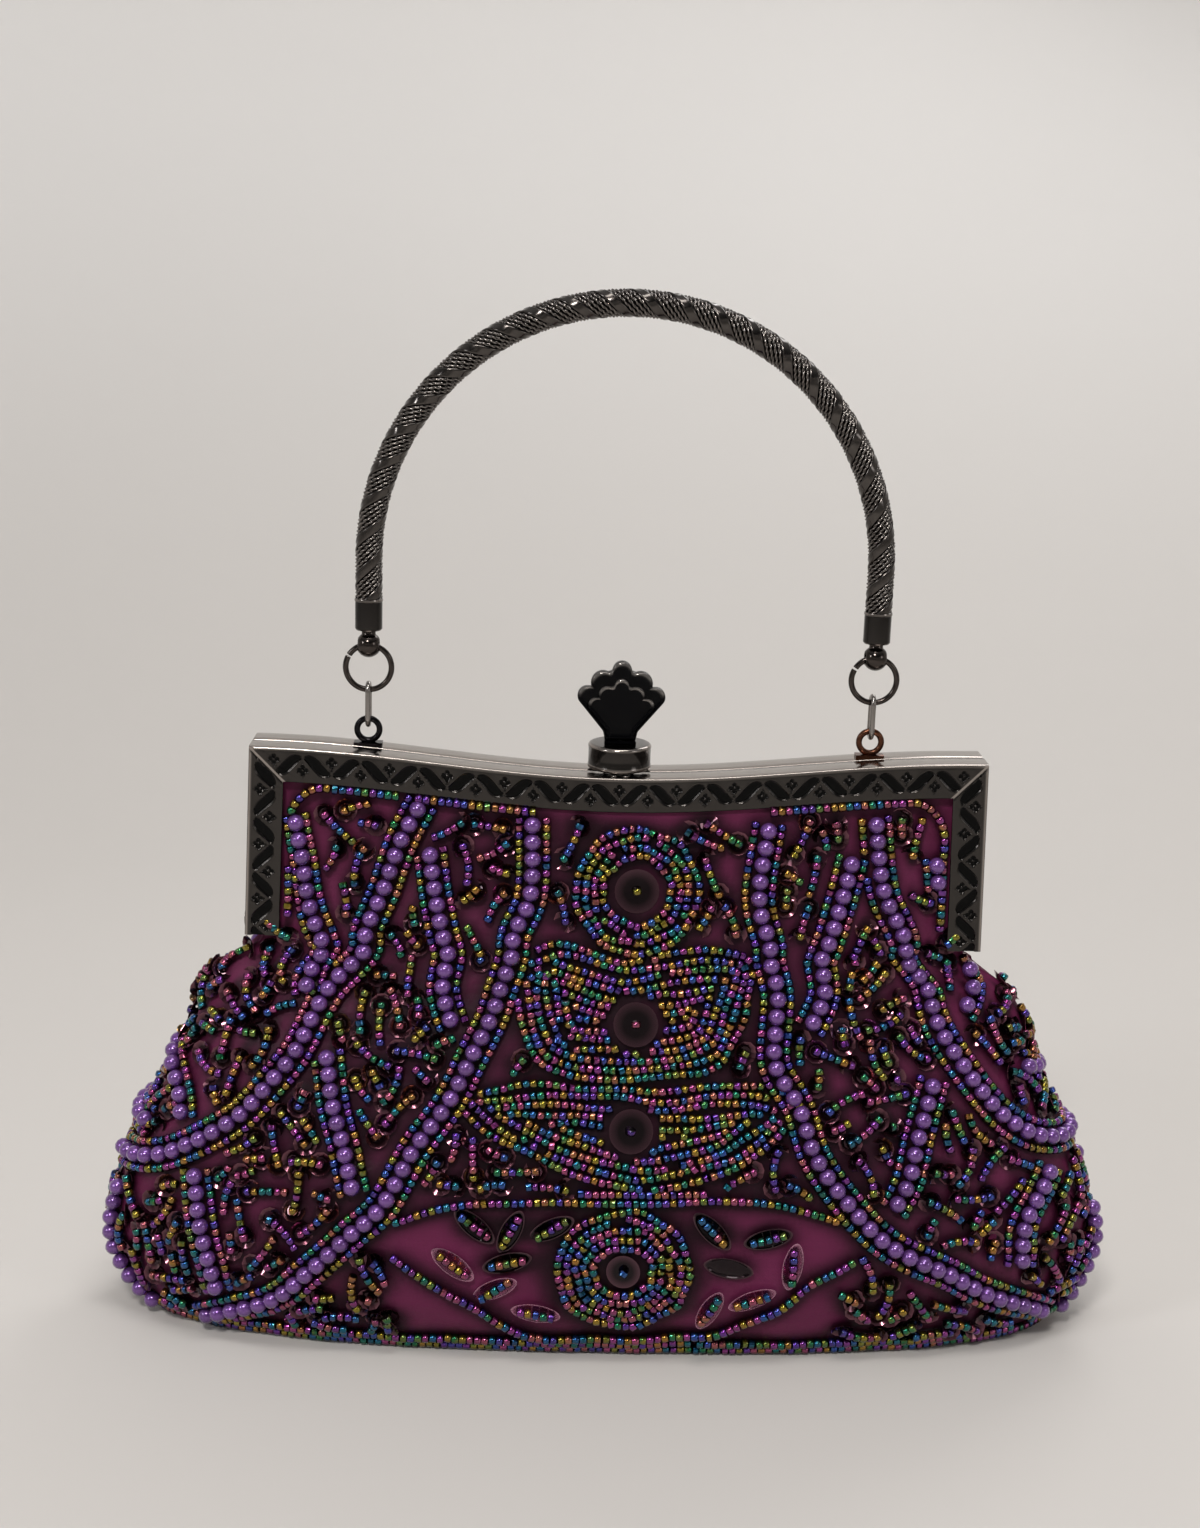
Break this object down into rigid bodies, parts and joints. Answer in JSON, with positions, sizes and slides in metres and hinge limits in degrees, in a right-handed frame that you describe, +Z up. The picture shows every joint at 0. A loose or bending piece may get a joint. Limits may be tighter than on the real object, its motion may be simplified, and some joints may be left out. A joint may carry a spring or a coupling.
{
  "type": "frame purse",
  "caption": "Small beaded evening purse on a hinged metal frame, closed by one tilting knob clasp, with an arched carrying handle on rings.",
  "frame": {"origin": "middle of the base, on the surface that the purse stands on", "axes": "+X to the right along the frame, -Y the front, +Z up through the clasp and the handle"},
  "size_m": [0.2522, 0.0646, 0.2605],
  "materials": {
    "gunmetal": "polished gunmetal plating",
    "nickel": "polished dark nickel plating",
    "spring_steel": "bright steel",
    "wound_wire": "gunmetal wire and flat ribbon, wound",
    "black_enamel": "gloss black enamel",
    "plum_satin": "satin, backed, with bead embroidery",
    "lining_satin": "plain satin lining",
    "stiff_board": "plain stiff board"
  },
  "bodies": {
    "rear": {"rear_frame": "gunmetal", "hinge_pin_left": "nickel", "hinge_pin_right": "nickel", "lug_left": "gunmetal", "lug_right": "gunmetal", "clasp_bracket": "spring_steel", "clasp_pin": "spring_steel", "clasp_spring": "spring_steel", "pouch": "plum_satin", "rear_panel": "plum_satin", "front_fold": "plum_satin", "pouch_lining": "lining_satin", "rear_lining": "lining_satin", "base_board": "stiff_board"},
    "front": {"front_frame": "gunmetal", "front_panel": "plum_satin", "front_lining": "lining_satin", "catch_tongue": "spring_steel", "catch_rivets": "spring_steel"},
    "knob": {"clasp_drum": "gunmetal", "finial_screw": "spring_steel", "shell_finial": "black_enamel"},
    "left_link": {"link_left": "nickel"},
    "right_link": {"link_right": "nickel"},
    "left_ring": {"ring_left": "nickel"},
    "right_ring": {"ring_right": "nickel"},
    "handle": {"end_ball_left": "gunmetal", "end_ball_right": "gunmetal", "ferrule_left": "gunmetal", "ferrule_right": "gunmetal", "handle_rod": "spring_steel", "handle_sleeve": "wound_wire", "handle_ribbons": "wound_wire"}
  },
  "joints": [
    {"name": "front_hinge", "type": "hinge", "parent": "rear", "child": "front", "pos_m": [0, 0, 0.104], "axis": [1, 0, 0], "range_deg": [0, 45], "deforming": ["front_fold", "catch_tongue"]},
    {"name": "knob_tilt", "type": "hinge", "parent": "rear", "child": "knob", "pos_m": [0, 0.0058, 0.1466], "axis": [-1, 0, 0], "range_deg": [0, 20], "stiffness_Nm_per_rad": 0.02, "springref_deg": -20.05, "deforming": ["clasp_spring"]},
    {"name": "left_link_swing", "type": "hinge", "parent": "rear", "child": "left_link", "pos_m": [-0.062, 0.0024, 0.15547], "axis": [-1, 0, 0], "range_deg": [-75, 75]},
    {"name": "left_ring_swing", "type": "hinge", "parent": "left_link", "child": "left_ring", "pos_m": [-0.062, 0.0024, 0.1627], "axis": [-1, 0, 0], "range_deg": [-40, 40]},
    {"name": "handle_swing", "type": "hinge", "parent": "left_ring", "child": "handle", "pos_m": [-0.062, 0.0024, 0.17386], "axis": [-1, 0, 0], "range_deg": [-45, 45]},
    {"name": "right_link_swing", "type": "hinge", "parent": "rear", "child": "right_link", "pos_m": [0.062, 0.0024, 0.15547], "axis": [-1, 0, 0], "range_deg": [-75, 75]},
    {"name": "right_ring_swing", "type": "hinge", "parent": "right_link", "child": "right_ring", "pos_m": [0.062, 0.0024, 0.1627], "axis": [-1, 0, 0], "range_deg": [-40, 40]}
  ],
  "couplings": [
    {"joint": "right_link_swing", "follows": "left_link_swing", "ratio": 1},
    {"joint": "right_ring_swing", "follows": "left_ring_swing", "ratio": 1}
  ]
}
